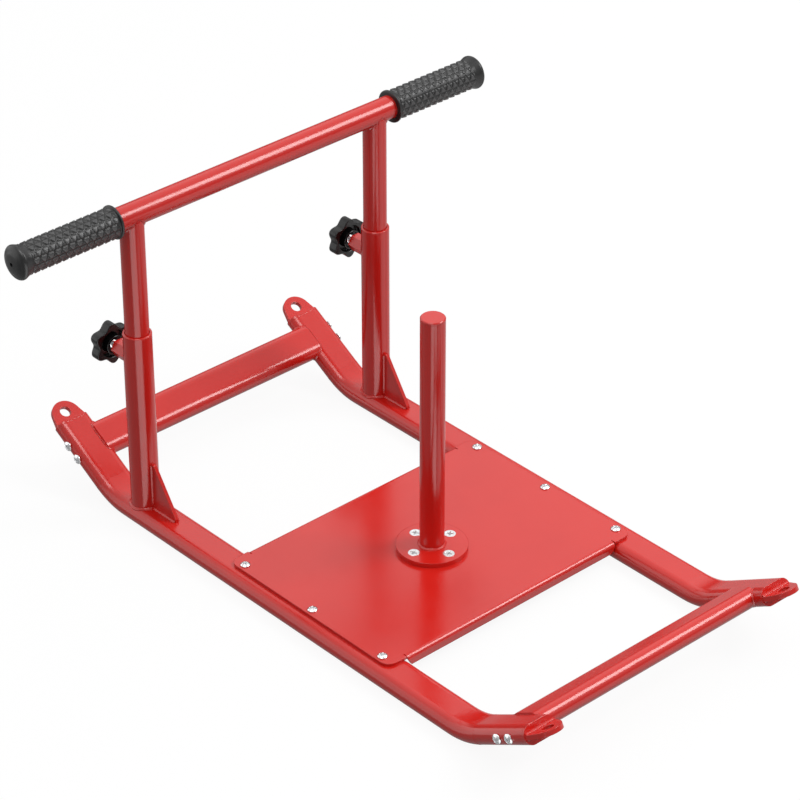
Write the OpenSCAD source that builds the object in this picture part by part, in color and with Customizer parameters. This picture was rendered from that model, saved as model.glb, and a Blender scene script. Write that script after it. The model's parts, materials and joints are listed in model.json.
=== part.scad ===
// Drag sled: two flat-oval skid tubes joined by cross tubes and a deck plate, a post for weight
// plates, and a telescoping handle that two knobs clamp. Millimetres. X is across the sled,
// +Y is towards the handle, +Z is up, and the origin is on the floor under the sled's middle.

/* [Runners] */
// Distance between the centres of the two skid tubes, which the deck's width goes with
track = 318.5; // [280:0.5:380]
// Width of the flat-oval tube
tube_w = 40; // [36:1:50]
// Height of the flat-oval tube
tube_h = 20; // [18:1:24]
// Wall of the flat-oval tube
tube_wall = 2; // [1.5:0.1:3]
// Length of the straight part that lies on the floor
straight_len = 492; // [480:2:700]
// Bend radius at the tube's centre line
bend_r = 75; // [60:1:110]
// Angle by which the ends rise
bend_angle = 30; // [20:1:40]
// Length of the straight rising part
rise_len = 75.5; // [72:0.5:120]

/* [Tow lugs] */
// Thickness of the plates that close the tube ends
end_plate_t = 3; // [2:0.5:5]
// Thickness of a lug
lug_t = 5; // [4:0.5:8]
// Diameter of the tow hole
lug_hole_d = 12; // [8:0.5:16]
// Distance from the end plate to the centre of the tow hole
lug_reach = 12; // [11:0.5:30]
// Distance from the centre of the tow hole to the lug's tip
lug_past = 13; // [11:0.5:20]
// Radius of the lug's round end
lug_tip_r = 16; // [13:0.5:18]
// Width of the lug where it meets the end plate
lug_base_w = 38; // [37:1:40]

/* [Cross tubes] */
// Distance of a cross tube's centre from the bend, along the rising part
cross_at = 46; // [32:0.5:50]
// Height of a cross tube above the skid tube's centre line
cross_raise = 1.5; // [0:0.1:1.6]
// Depth below the skid tube's top at which the coped ends stop
cope_edge = 0.3; // [0.2:0.1:1]
// Distance between the two bolts at each end
bolt_spacing = 17.5; // [15:0.5:20]
// Diameter of the bolts' shanks
bolt_d = 6; // [5:0.5:7]
// Length of the bolts below their heads
bolt_len = 60; // [54:1:60]
// Diameter of the bolts' heads
bolt_head_d = 10.5; // [9:0.5:12]
// Height of the bolts' heads
bolt_head_h = 3.4; // [2.5:0.1:5]
// Length of the threaded plugs inside the cross tubes
plug_len = 18; // [12:1:40]
// Distance of the plugs from the skid tubes
plug_inset = 3; // [1:0.5:6]

/* [Deck] */
// Width of the deck plate: the track, and a margin past the deck screws on each side
deck_w = 333; // [326:1:440]
// Length of the deck plate
deck_len = 237; // [226:1:300]
// Thickness of the deck plate
deck_t = 3; // [2:0.5:5]
// Place of the deck's centre along the sled
deck_y = -33; // [-60:1:20]
// Radius of the deck's corners
deck_corner_r = 11; // [4:1:20]
// Height of the turned-down flanges, with the plate
deck_flange_h = 11; // [9:1:15]
// Distance that the flanges stand out past the deck's edges
deck_flange_out = 1.5; // [0:0.5:3]
// Inside radius of the flanges' bends
deck_bend_r = 2; // [1:0.5:4]
// Clearance between the flanges' lower corners and the skid tubes
deck_flange_gap = 3; // [2:0.5:8]
// Distance by which a flange's slanting ends lean out, up to the deck
deck_flange_slant = 5; // [0:0.5:5]
// Width of the relief notches beside the flanges
deck_notch_w = 1; // [0.5:0.5:4]
// Distance between deck screws, along a skid tube
deck_screw_pitch = 102.5; // [90:0.5:105]
// Diameter of the deck screws' shanks
deck_screw_d = 5; // [4:0.5:6]
// Length of the deck screws below their heads
deck_screw_len = 12; // [8:1:18]
// Diameter of the deck screws' heads
deck_head_d = 10; // [8:0.5:12]
// Height of the deck screws' heads
deck_head_h = 3; // [2:0.1:4]

/* [Weight post] */
// Outside diameter of the post, for plates with a 1 inch hole
post_d = 25.4; // [20:0.1:28]
// Wall of the post
post_wall = 2.5; // [1.5:0.5:4]
// Height of the post above the deck
post_h = 270; // [150:1:400]
// Thickness of the post's cap
post_cap_t = 3; // [2:0.5:5]
// Diameter of the post's round foot plate
post_flange_d = 73.5; // [70:0.5:90]
// Thickness of the foot plate
post_flange_t = 5; // [4.5:0.5:8]
// Diameter of the circle of screws in the foot plate
post_screw_circle = 49.5; // [48:0.5:54]
// Diameter of the foot plate's screws
post_screw_d = 6; // [5:0.5:6]
// Length of the foot plate's screws
post_screw_len = 17; // [15:1:24]
// Diameter of the countersunk heads
post_head_d = 12; // [10:0.5:12.5]
// Width across the flats of the nuts under the deck
post_nut_af = 10; // [9:0.5:11]
// Height of the nuts under the deck
post_nut_h = 5; // [4:0.5:6]
// Size of the weld bead at the post's foot
post_weld = 2; // [1:0.5:4]
// Depth of the bevel at the post's foot, which the weld bead fills
post_bevel = 0.6; // [0.3:0.1:1]

/* [Uprights] */
// Place of the uprights along the sled
upright_y = 229; // [200:1:232]
// Outside diameter of the uprights
upright_d = 30; // [29:0.5:34]
// Wall of the uprights
upright_wall = 2; // [1.5:0.1:2]
// Height of the uprights' tops above the floor
upright_top = 224; // [210:1:320]
// Radius of the uprights' rounded lip
lip_r = 1.4; // [0.5:0.1:1.4]
// Length of a gusset's foot, from the upright
gusset_foot = 36.5; // [20:0.5:60]
// Height of a gusset
gusset_h = 53; // [30:1:90]
// Thickness of a gusset
gusset_t = 4; // [3:0.5:6]
// Blunt edge at a gusset's two corners
gusset_blunt = 3.5; // [2:0.5:6]

/* [Handle] */
// Distance that the handle stands above its lowest place
handle_raised = 110; // [90:5:110]
// Gap under the handlebar when the handle is at its lowest
lowest_gap = 11; // [6:1:40]
// Gap under the sliding tubes when the handle is at its lowest
foot_gap = 1.5; // [1:0.5:20]
// Outside diameter of the sliding tubes
inner_d = 25; // [22:0.5:25]
// Wall of the sliding tubes
inner_wall = 1.5; // [1.2:0.1:2.5]
// Outside diameter of the handlebar
bar_d = 25; // [24:0.5:28]
// Wall of the handlebar
bar_wall = 1.5; // [1.2:0.1:2.5]
// Distance between a sliding tube and its grip
grip_gap = 8.25; // [2:0.25:60]
// Length of a grip
grip_len = 124; // [100:0.5:125]
// Thickness of the wall that closes a grip's outer end
grip_end_t = 5.5; // [4:0.5:8]
// Diameter of the vent hole in a grip's end
grip_vent_d = 4; // [3:0.5:8]
// Diameter of a grip's middle
grip_d = 33; // [31:0.5:36]
// Diameter of a grip's inner collar
grip_collar_d = 35.4; // [34:0.2:38]
// Diameter of a grip's outer end
grip_end_d = 36.4; // [36:0.2:42]

/* [Clamps] */
// Height of the clamp screws above the floor
clamp_z = 192; // [150:1:195]
// Width across the flats of the threaded boss
boss_af = 17; // [14:0.5:20]
// Distance that the boss stands out from the upright
boss_len = 17.5; // [12:0.5:30]
// Diameter of the clamp stud
stud_d = 10; // [8:0.5:10]
// Gap between the stud's tip and the sliding tube
stud_tip_gap = 0.3; // [0.2:0.1:1]
// Length of the stud inside the knob
stud_in_knob = 12; // [8:1:13]
// Gap between the stud's end and the bottom of the knob's bore
stud_end_gap = 0.3; // [0.1:0.1:1]
// Gap between the boss and the knob's hub
knob_gap = 4; // [1:0.1:8]
// Diameter over the knob's lobes
knob_d = 46; // [42:0.5:60]
// Number of lobes
knob_lobes = 6; // [5:1:8]
// Depth of the hollows between the lobes
knob_hollow = 5; // [2:0.2:6]
// Turn of the knob's lobes about the stud
knob_turn = 30; // [0:1:60]
// Thickness of the knob's rim
knob_rim_t = 12; // [12:0.5:20]
// Radius of the rounding on the knob's rim
knob_round = 2; // [1:0.5:4]
// Diameter of the knob's hub
knob_hub_d = 21; // [16:0.5:30]
// Distance that the hub stands out towards the boss
knob_hub_out = 3.5; // [3:0.5:8]

/* [Fits] */
// Radial clearance of a shank in a threaded hole
thread_clearance = 0.05; // [0.02:0.01:0.1]
// Radial clearance of a screw in a plain hole
hole_clearance = 0.25; // [0.1:0.05:0.5]
// Clearance of the plugs inside the cross tubes
plug_clearance = 0.1; // [0.05:0.05:0.3]
// Root gap between a lug and the end plate that it is welded to
root_gap = 0.05; // [0.02:0.01:0.3]

/* [Hidden] */

$fn = 64;
bend_fn = 128;
eps = 1;
LEFT = -1;
RIGHT = 1;
FRONT = -1;
REAR = 1;
SIDES = [LEFT, RIGHT];
ENDS = [FRONT, REAR];

red = [0.80, 0.13, 0.12];
black = [0.07, 0.07, 0.08];
zinc = [0.80, 0.81, 0.83];

// Skid tubes and what is bolted to them
side_r = tube_h / 2;
flat_w = tube_w - tube_h;
runner_x = track / 2;
runner_inner_x = runner_x - tube_w / 2;
cope_x = runner_x - flat_w / 2 - sqrt(2 * side_r * cope_edge - cope_edge * cope_edge);
plug_x = runner_inner_x - plug_inset - plug_len;
ring_h = 0.1;
ring_len = 1;
ring_angle = 1;

// Deck and weight post
deck_top = tube_h + deck_t;
deck_bend_out = deck_bend_r + deck_t;
deck_flange_low_x = runner_inner_x - deck_flange_gap;
deck_flange_x = deck_flange_low_x + deck_flange_slant;
flange_top = deck_top + post_flange_t;
post_len = deck_top + post_h - post_cap_t - flange_top;
post_bevel_h = post_weld + 0.5;

// Uprights and handle
upright_r = upright_d / 2;
upright_bore_r = upright_r - upright_wall;
bar_z = upright_top + lowest_gap + bar_d / 2 + handle_raised;
inner_foot_z = tube_h + foot_gap + handle_raised;
saddle_edge = bar_d / 6;
grip_x = runner_x + inner_d / 2 + grip_gap;
bar_len = 2 * (grip_x + grip_len - grip_end_t);

// Clamps
stud_tip_y = upright_y + inner_d / 2 + stud_tip_gap;
boss_end_y = upright_y + upright_r + boss_len;
knob_y = boss_end_y + knob_gap;
knob_points = 12 * knob_lobes;

// Puts its children at one end of the sled: they are made for the rear end
module at_end(fore) {
    mirror([0, fore == FRONT ? 1 : 0, 0])
        children();
}

// Puts its children on a skid tube's rising part: +Y runs up along it, +Z is square to it
module at_rise(x, fore, along = 0, up = 0) {
    at_end(fore)
        translate([x, straight_len / 2, side_r + bend_r])
            rotate([bend_angle, 0, 0])
                translate([0, along, up - bend_r])
                    children();
}

// Lays an outline drawn in X and Y into the Y-Z plane, and extrudes it along X
module along_x(len) {
    rotate([90, 0, 90])
        linear_extrude(len, center = true)
            children();
}

// Lays an outline flat into the X-Z plane and extrudes it along +Y
module along_y(len) {
    rotate([-90, 0, 0])
        linear_extrude(len)
            children();
}

module flat_oval(inset = 0) {
    square([flat_w, tube_h - 2 * inset], center = true);
    for (side = SIDES)
        translate([side * flat_w / 2, 0])
            circle(r = side_r - inset);
}

// Straight part of a skid tube, on the floor
module skid_straight(x, inset = 0) {
    translate([x, -straight_len / 2, side_r])
        along_y(straight_len)
            flat_oval(inset);
}

// Start of a bend, swept from the origin along +Y and upwards
module bend_start(angle, inset) {
    translate([0, 0, bend_r])
        rotate([0, 90, 0])
            rotate_extrude(angle = angle, $fn = bend_fn)
                translate([bend_r, 0])
                    rotate(90)
                        flat_oval(inset);
}

// The skid tube's path, swept with the flat-oval outline. A faint ring, as a bending die leaves,
// covers each place where a bend runs into a rising part and makes them one body.
module skid_shape(x, inset = 0, extra = 0) {
    skid_straight(x, inset);
    for (fore = ENDS) {
        at_end(fore)
            translate([x, straight_len / 2, side_r])
                bend_start(bend_angle, inset);
        at_rise(x, fore) {
            mirror([0, 1, 0])
                bend_start(ring_angle, inset - ring_h);
            along_y(ring_len)
                flat_oval(inset - ring_h);
            along_y(rise_len + extra)
                flat_oval(inset);
        }
    }
}

// Puts its children at both bolts of one tube end, with +Z inwards from the tube's outer side
module at_bolts(side, fore) {
    for (place = [-0.5, 0.5])
        at_rise(side * (runner_x + tube_w / 2), fore, cross_at + place * bolt_spacing)
            rotate([0, -side * 90, 0])
                children();
}

// Puts its children on the deck's top over one skid tube, at the three screws
module at_deck_screws(side) {
    for (place = [-1, 0, 1])
        translate([side * runner_x, deck_y + place * deck_screw_pitch, deck_top])
            children();
}

// Puts its children on the foot plate's top, at the four screws
module at_post_screws() {
    for (turn = [0:90:270])
        translate([0, deck_y, flange_top])
            rotate(turn)
                translate([post_screw_circle / 2, 0, 0])
                    children();
}

module runner(side) {
    color(red)
        difference() {
            skid_shape(side * runner_x);
            skid_shape(side * runner_x, tube_wall, eps);
            for (fore = ENDS)
                at_bolts(side, fore)
                    translate([0, 0, -eps])
                        cylinder(r = bolt_d / 2 + hole_clearance, h = tube_w + 2 * eps);
            at_deck_screws(side)
                translate([0, 0, -deck_t - tube_wall - eps])
                    cylinder(r = deck_screw_d / 2 + thread_clearance, h = tube_wall + 2 * eps);
        }
}

module end_plate(side, fore) {
    color(red)
        at_rise(side * runner_x, fore, rise_len)
            along_y(end_plate_t)
                flat_oval();
}

// The lug's round end, and straight sides that run from its base and touch the round end
module lug_outline() {
    half = lug_base_w / 2;
    middle = lug_reach + lug_past - lug_tip_r;
    touch = acos(lug_tip_r / norm([half, middle])) - atan2(middle, half);
    touch_x = lug_tip_r * cos(touch);
    touch_y = middle + lug_tip_r * sin(touch);
    polygon([[-half, 0], [half, 0], [touch_x, touch_y], [-touch_x, touch_y]]);
    intersection() {
        translate([0, middle])
            circle(r = lug_tip_r);
        translate([-half, 0])
            square([lug_base_w, lug_reach + lug_past]);
    }
}

module tow_lug(side, fore) {
    color(red)
        at_rise(side * runner_x, fore, rise_len + end_plate_t + root_gap)
            translate([0, 0, -lug_t / 2])
                linear_extrude(lug_t)
                    difference() {
                        lug_outline();
                        translate([0, lug_reach])
                            circle(d = lug_hole_d);
                    }
}

// Hollow flat-oval tube between the skid tubes, with its ends coped to their round sides
module cross_tube(fore) {
    color(red)
        difference() {
            at_rise(0, fore, cross_at, cross_raise)
                along_x(2 * cope_x)
                    difference() {
                        flat_oval();
                        flat_oval(tube_wall);
                    }
            for (side = SIDES)
                at_rise(side * runner_x, fore, -eps)
                    along_y(rise_len + 2 * eps)
                        flat_oval();
        }
}

module cross_tube_plugs(fore) {
    color(zinc)
        difference() {
            for (side = SIDES)
                at_rise(side * (plug_x + plug_len / 2), fore, cross_at, cross_raise)
                    along_x(plug_len)
                        flat_oval(tube_wall + plug_clearance);
            for (side = SIDES)
                at_bolts(side, fore)
                    cylinder(r = bolt_d / 2 + thread_clearance, h = 2 * runner_x - tube_w);
        }
}

// Pan head: a short cylinder under a low dome, on a plain shank
module pan_screw(head_d, head_h, shank_d, shank_len) {
    rim_h = head_h / 3;
    dome_h = head_h - rim_h;
    dome_r = (head_d * head_d / 4 + dome_h * dome_h) / (2 * dome_h);
    translate([0, 0, -shank_len])
        cylinder(d = shank_d, h = shank_len);
    cylinder(d = head_d, h = rim_h);
    intersection() {
        cylinder(d = head_d, h = head_h);
        translate([0, 0, head_h - dome_r])
            sphere(r = dome_r, $fn = 96);
    }
}

module cross_tube_bolts() {
    color(zinc)
        for (side = SIDES, fore = ENDS)
            at_bolts(side, fore)
                mirror([0, 0, 1])
                    pan_screw(bolt_head_d, bolt_head_h, bolt_d, bolt_len);
}

// Profile of a turned-down flange, bend and all, in Y and Z from the deck's centre and top
module flange_profile() {
    bend_y = deck_len / 2 + deck_flange_out - deck_bend_out;
    translate([bend_y - deck_flange_out - eps, -deck_t])
        square([deck_flange_out + eps, deck_t]);
    intersection() {
        translate([bend_y, -deck_bend_out])
            difference() {
                circle(r = deck_bend_out);
                circle(r = deck_bend_r);
            }
        translate([bend_y, -deck_bend_out])
            square(deck_bend_out);
    }
    translate([bend_y + deck_bend_r, -deck_flange_h])
        square([deck_t, deck_flange_h - deck_bend_out]);
}

// A flange with slanting ends, which keep clear of the skid tubes' round sides
module deck_flange() {
    intersection() {
        along_x(2 * deck_flange_x)
            flange_profile();
        translate([0, deck_len, 0])
            rotate([90, 0, 0])
                linear_extrude(deck_len)
                    polygon([[-deck_flange_x, eps], [deck_flange_x, eps], [deck_flange_x, -deck_t],
                        [deck_flange_low_x, -deck_flange_h - eps],
                        [-deck_flange_low_x, -deck_flange_h - eps],
                        [-deck_flange_x, -deck_t]]);
    }
}

module rounded_plate(w, l, r) {
    square([w - 2 * r, l], center = true);
    square([w, l - 2 * r], center = true);
    for (x = [-1, 1], y = [-1, 1])
        translate([x * (w / 2 - r), y * (l / 2 - r)])
            circle(r = r);
}

module deck_plate() {
    cut_w = 2 * (deck_flange_x + deck_notch_w);
    color(red)
        difference() {
            translate([0, deck_y, deck_top]) {
                translate([0, 0, -deck_t])
                    linear_extrude(deck_t)
                        difference() {
                            rounded_plate(deck_w, deck_len, deck_corner_r);
                            for (y = ENDS)
                                translate([0, y * (deck_len / 2 - deck_bend_out / 2 + eps)])
                                    square([cut_w, deck_bend_out + 2 * eps], center = true);
                        }
                for (fore = ENDS)
                    at_end(fore)
                        deck_flange();
            }
            for (side = SIDES)
                at_deck_screws(side)
                    translate([0, 0, -deck_t - eps])
                        cylinder(r = deck_screw_d / 2 + hole_clearance, h = deck_t + 2 * eps);
            at_post_screws()
                translate([0, 0, -post_flange_t - deck_t - eps])
                    cylinder(r = post_screw_d / 2 + hole_clearance, h = deck_t + 2 * eps);
        }
}

module deck_screws() {
    color(zinc)
        for (side = SIDES)
            at_deck_screws(side)
                pan_screw(deck_head_d, deck_head_h, deck_screw_d, deck_screw_len);
}

module post_flange() {
    sink = (post_head_d - post_screw_d) / 2 - hole_clearance;
    color(red)
        difference() {
            translate([0, deck_y, deck_top])
                cylinder(d = post_flange_d, h = post_flange_t, $fn = 96);
            at_post_screws() {
                translate([0, 0, -post_flange_t - eps])
                    cylinder(r = post_screw_d / 2 + hole_clearance, h = post_flange_t + 2 * eps);
                translate([0, 0, -sink])
                    cylinder(r1 = post_head_d / 2 - sink, r2 = post_head_d / 2, h = sink);
            }
        }
}

module post_screws() {
    sink = (post_head_d - post_screw_d) / 2;
    color(zinc)
        at_post_screws() {
            translate([0, 0, -sink])
                cylinder(r1 = post_screw_d / 2, r2 = post_head_d / 2, h = sink);
            translate([0, 0, -post_screw_len])
                cylinder(d = post_screw_d, h = post_screw_len - sink);
        }
}

module post_nuts() {
    color(zinc)
        at_post_screws()
            translate([0, 0, -post_flange_t - deck_t - post_nut_h])
                difference() {
                    cylinder(d = post_nut_af / cos(30), h = post_nut_h, $fn = 6);
                    translate([0, 0, -eps])
                        cylinder(r = post_screw_d / 2 + thread_clearance, h = post_nut_h + 2 * eps);
                }
}

module weight_post() {
    color(red)
        translate([0, deck_y, flange_top])
            difference() {
                union() {
                    cylinder(d1 = post_d - 2 * post_bevel, d2 = post_d, h = post_bevel_h);
                    translate([0, 0, post_bevel_h])
                        cylinder(d = post_d, h = post_len - post_bevel_h);
                }
                translate([0, 0, -eps])
                    cylinder(d = post_d - 2 * post_wall, h = post_len + 2 * eps);
            }
}

module post_cap() {
    edge = post_cap_t / 3;
    color(red)
        translate([0, deck_y, flange_top + post_len]) {
            cylinder(d = post_d, h = post_cap_t - edge);
            translate([0, 0, post_cap_t - edge])
                cylinder(d1 = post_d, d2 = post_d - 2 * edge, h = edge);
        }
}

// The bead fills the bevel at the post's foot and stands out of it
module post_weld_bead() {
    outside = post_weld * [[1, 0], [0.85, 0.5], [0.5, 0.85], [0, 1]];
    inside = post_bevel * [[-1 + post_weld / post_bevel_h, 0], [-1, 0]] + post_weld * [[0, 1], [0, 0]];
    color(red)
        translate([0, deck_y, flange_top])
            rotate_extrude()
                translate([post_d / 2, 0])
                    polygon(concat(outside, inside));
}

// Outer tube of the handle: its foot is coped to the skid tube's round shoulders
module upright(side) {
    color(red)
        difference() {
            translate([side * runner_x, upright_y, side_r])
                rotate_extrude() {
                    wall_h = upright_top - side_r;
                    translate([upright_bore_r, 0]) {
                        square([upright_wall, wall_h - lip_r]);
                        square([upright_wall - lip_r, wall_h]);
                    }
                    translate([upright_r - lip_r, wall_h - lip_r])
                        intersection() {
                            circle(r = lip_r);
                            square(lip_r);
                        }
                }
            skid_straight(side * runner_x);
            translate([side * runner_x, upright_y, clamp_z])
                rotate([-90, 0, 0])
                    cylinder(r = stud_d / 2 + hole_clearance, h = upright_r + eps);
        }
}

module gusset(side) {
    toe_y = upright_y - upright_r - gusset_foot;
    head_y = upright_y - upright_r - gusset_blunt;
    color(red)
        difference() {
            translate([side * runner_x, 0, tube_h])
                along_x(gusset_t)
                    polygon([[upright_y, 0], [toe_y, 0], [toe_y, gusset_blunt],
                        [head_y, gusset_h], [upright_y, gusset_h]]);
            translate([side * runner_x, upright_y, 0])
                cylinder(d = upright_d, h = upright_top);
        }
}

module clamp_boss(side) {
    color(red)
        difference() {
            translate([side * runner_x, upright_y, clamp_z])
                rotate([-90, 0, 0])
                    difference() {
                        cylinder(d = boss_af / cos(30), h = upright_r + boss_len, $fn = 6);
                        cylinder(r = stud_d / 2 + thread_clearance, h = upright_r + boss_len + eps);
                    }
            translate([side * runner_x, upright_y, 0])
                cylinder(d = upright_d, h = upright_top);
        }
}

module handlebar() {
    color(red)
        translate([0, upright_y, bar_z])
            along_x(bar_len)
                difference() {
                    circle(d = bar_d);
                    circle(d = bar_d - 2 * bar_wall);
                }
}

// Sliding tube: its top is coped to the handlebar's underside
module inner_tube(side) {
    color(red)
        difference() {
            translate([side * runner_x, upright_y, inner_foot_z])
                linear_extrude(bar_z - saddle_edge - inner_foot_z)
                    difference() {
                        circle(d = inner_d);
                        circle(d = inner_d - 2 * inner_wall);
                    }
            translate([0, upright_y, bar_z])
                along_x(bar_len)
                    circle(d = bar_d);
        }
}

// Half profile of a grip: x is the distance from its inner end, y is the radius
module grip_profile() {
    collar = grip_collar_d / 2;
    middle = grip_d / 2;
    end = grip_end_d / 2;
    bore = bar_d / 2;
    polygon([
        [0, bore], [0, collar - 2], [0.8, collar - 0.6], [2.5, collar], [6, collar], [7.5, collar - 0.8],
        [8.5, middle - 0.4], [10, middle], [grip_len - 19.5, middle], [grip_len - 15.5, middle - 0.6],
        [grip_len - 12.5, middle], [grip_len - 9, end - 0.6], [grip_len - 7, end],
        [grip_len - 5.5, end - 0.3], [grip_len - 4, end - 1.3], [grip_len - 2.8, end - 3],
        [grip_len - 1.8, end - 5.5], [grip_len - 0.7, end - 9.5],
        [grip_len, grip_vent_d / 2], [grip_len - grip_end_t, grip_vent_d / 2],
        [grip_len - grip_end_t, bore]]);
}

module grip(side) {
    color(black)
        mirror([side == LEFT ? 1 : 0, 0, 0])
            translate([grip_x, upright_y, bar_z])
                rotate([0, 90, 0])
                    rotate_extrude()
                        mirror([1, -1, 0])
                            grip_profile();
}

module clamp_stud(side) {
    tip = stud_d / 8;
    len = knob_y + stud_in_knob - stud_tip_y;
    color(zinc)
        translate([side * runner_x, stud_tip_y, clamp_z])
            rotate([-90, 0, 0]) {
                cylinder(d1 = stud_d - 2 * tip, d2 = stud_d, h = tip);
                translate([0, 0, tip])
                    cylinder(d = stud_d, h = len - tip);
            }
}

// Distance from the knob's axis to its lobed edge, at an angle
function knob_edge(angle) =
    knob_d / 2 - knob_hollow * (1 - cos(knob_lobes * (angle - knob_turn))) / 2;

module knob_outline() {
    polygon([for (i = [0 : knob_points - 1])
        let (angle = 360 * i / knob_points)
            knob_edge(angle) * [cos(angle), sin(angle)]]);
}

// Half profile that rounds the knob's rim: a disc with round edges
module knob_disc_profile() {
    r = knob_d / 2;
    square([r - knob_round, knob_rim_t]);
    translate([0, knob_round])
        square([r, knob_rim_t - 2 * knob_round]);
    for (z = [knob_round, knob_rim_t - knob_round])
        translate([r - knob_round, z])
            circle(r = knob_round);
}

module clamp_knob(side) {
    color(black)
        translate([side * runner_x, knob_y, clamp_z])
            rotate([-90, 0, 0])
                difference() {
                    union() {
                        cylinder(d = knob_hub_d, h = knob_hub_out + eps);
                        translate([0, 0, knob_hub_out])
                            intersection() {
                                linear_extrude(knob_rim_t)
                                    knob_outline();
                                rotate_extrude()
                                    knob_disc_profile();
                            }
                    }
                    translate([0, 0, -eps])
                        cylinder(r = stud_d / 2 + thread_clearance, h = stud_in_knob + stud_end_gap + eps);
                }
}

runner(LEFT);  // left_runner
runner(RIGHT);  // right_runner
end_plate(LEFT, FRONT);  // left_front_end_plate
end_plate(RIGHT, FRONT);  // right_front_end_plate
end_plate(LEFT, REAR);  // left_rear_end_plate
end_plate(RIGHT, REAR);  // right_rear_end_plate
tow_lug(LEFT, FRONT);  // left_front_tow_lug
tow_lug(RIGHT, FRONT);  // right_front_tow_lug
tow_lug(LEFT, REAR);  // left_rear_tow_lug
tow_lug(RIGHT, REAR);  // right_rear_tow_lug
cross_tube(FRONT);  // front_cross_tube
cross_tube(REAR);  // rear_cross_tube
cross_tube_plugs(FRONT);  // front_cross_tube_plugs
cross_tube_plugs(REAR);  // rear_cross_tube_plugs
cross_tube_bolts();
deck_plate();
deck_screws();
post_flange();
post_screws();
post_nuts();
weight_post();
post_cap();
post_weld_bead();
upright(LEFT);  // left_upright
upright(RIGHT);  // right_upright
gusset(LEFT);  // left_gusset
gusset(RIGHT);  // right_gusset
clamp_boss(LEFT);  // left_clamp_boss
clamp_boss(RIGHT);  // right_clamp_boss
handlebar();
inner_tube(LEFT);  // left_inner_tube
inner_tube(RIGHT);  // right_inner_tube
grip(LEFT);  // left_grip
grip(RIGHT);  // right_grip
clamp_stud(LEFT);  // left_clamp_stud
clamp_stud(RIGHT);  // right_clamp_stud
clamp_knob(LEFT);  // left_clamp_knob
clamp_knob(RIGHT);  // right_clamp_knob
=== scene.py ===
import json
import math

import bmesh
import bpy
from mathutils import Matrix, Vector


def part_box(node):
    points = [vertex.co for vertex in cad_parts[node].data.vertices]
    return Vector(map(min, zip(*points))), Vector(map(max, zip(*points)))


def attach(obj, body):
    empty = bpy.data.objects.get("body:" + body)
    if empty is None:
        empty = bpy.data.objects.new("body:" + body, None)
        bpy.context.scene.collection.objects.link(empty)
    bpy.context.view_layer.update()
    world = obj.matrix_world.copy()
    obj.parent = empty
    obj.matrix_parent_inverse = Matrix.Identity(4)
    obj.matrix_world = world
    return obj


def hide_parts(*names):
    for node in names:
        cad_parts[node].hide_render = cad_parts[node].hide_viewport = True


# Drag sled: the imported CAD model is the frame, and this script gives it its finish, its small
# details, the studio and the camera. Everything is in metres.
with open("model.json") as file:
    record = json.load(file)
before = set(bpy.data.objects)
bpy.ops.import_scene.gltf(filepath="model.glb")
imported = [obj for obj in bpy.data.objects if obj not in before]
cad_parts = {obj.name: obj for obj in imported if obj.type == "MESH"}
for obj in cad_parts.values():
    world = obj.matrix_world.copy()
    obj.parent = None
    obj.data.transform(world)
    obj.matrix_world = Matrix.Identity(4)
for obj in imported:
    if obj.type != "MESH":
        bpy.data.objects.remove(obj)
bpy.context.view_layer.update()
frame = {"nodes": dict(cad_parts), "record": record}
NODES = frame["nodes"]
SLOT_OF = {part["node"]: part["material_slot"] for part in frame["record"]["subparts"]}

MM = 0.001
SIDES = {"left": -1, "right": 1}
ENDS = {"front": -1, "rear": 1}
X, Y, Z = Vector((1, 0, 0)), Vector((0, 1, 0)), Vector((0, 0, 1))

# Camera, solved from the photograph's edges
CAMERA_PLACE = Vector((-1.85142, -2.03067, 1.92833))
CAMERA_AZIMUTH = math.radians(-42.365)
CAMERA_ELEVATION = math.radians(32.052)
CAMERA_LENS = 148.32
SENSOR_WIDTH = 36.0
CAMERA_SHIFT = (-0.012875, -0.02675)

# Finishes. A pair of colours is the two that a finish is mottled with
COAT_COLOURS = ((0.600, 0.0112, 0.0068), (0.645, 0.0138, 0.0083))
ZINC_COLOURS = ((0.66, 0.67, 0.69), (0.80, 0.80, 0.80))
RUBBER_COLOURS = ((0.0065, 0.0065, 0.0068), (0.0110, 0.0110, 0.0114))
# Painted shade and painted highlight on the grips' woven part: dark in the grooves, light on the pads'
# tops
PAD_SHADE_AND_HIGHLIGHT_COLOURS = ((0.0025, 0.0025, 0.0026), (0.0760, 0.0760, 0.0770))
PLASTIC_COLOURS = ((0.0022, 0.0022, 0.0023), (0.0042, 0.0042, 0.0044))
COAT_EDGE_R = 0.8 * MM
ZINC_EDGE_R = 0.25 * MM
EDGE_SAMPLES = 12
NOISE_LOW, NOISE_HIGH = 0.3, 0.7
RELIEF = "relief"
RELIEF_GROUND = 0.01
TUBES = ("_runner", "_cross_tube", "_upright", "_inner_tube", "handlebar", "weight_post")

# Skid tubes, lugs and cross tubes
TUBE_FLAT = 20 * MM
TUBE_ROUND = 10 * MM
RISE_ANGLE = math.radians(30)
LUG_T = 5 * MM
LUG_BASE_W = 38 * MM
CROSS_TUBE_W = 40 * MM

# Uprights, handle and post
UPRIGHT_R = 15 * MM
INNER_R = 12.5 * MM
BAR_R = 12.5 * MM
POST_R = 12.7 * MM
GUSSET_T = 4 * MM
BOSS_R = 9 * MM

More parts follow.
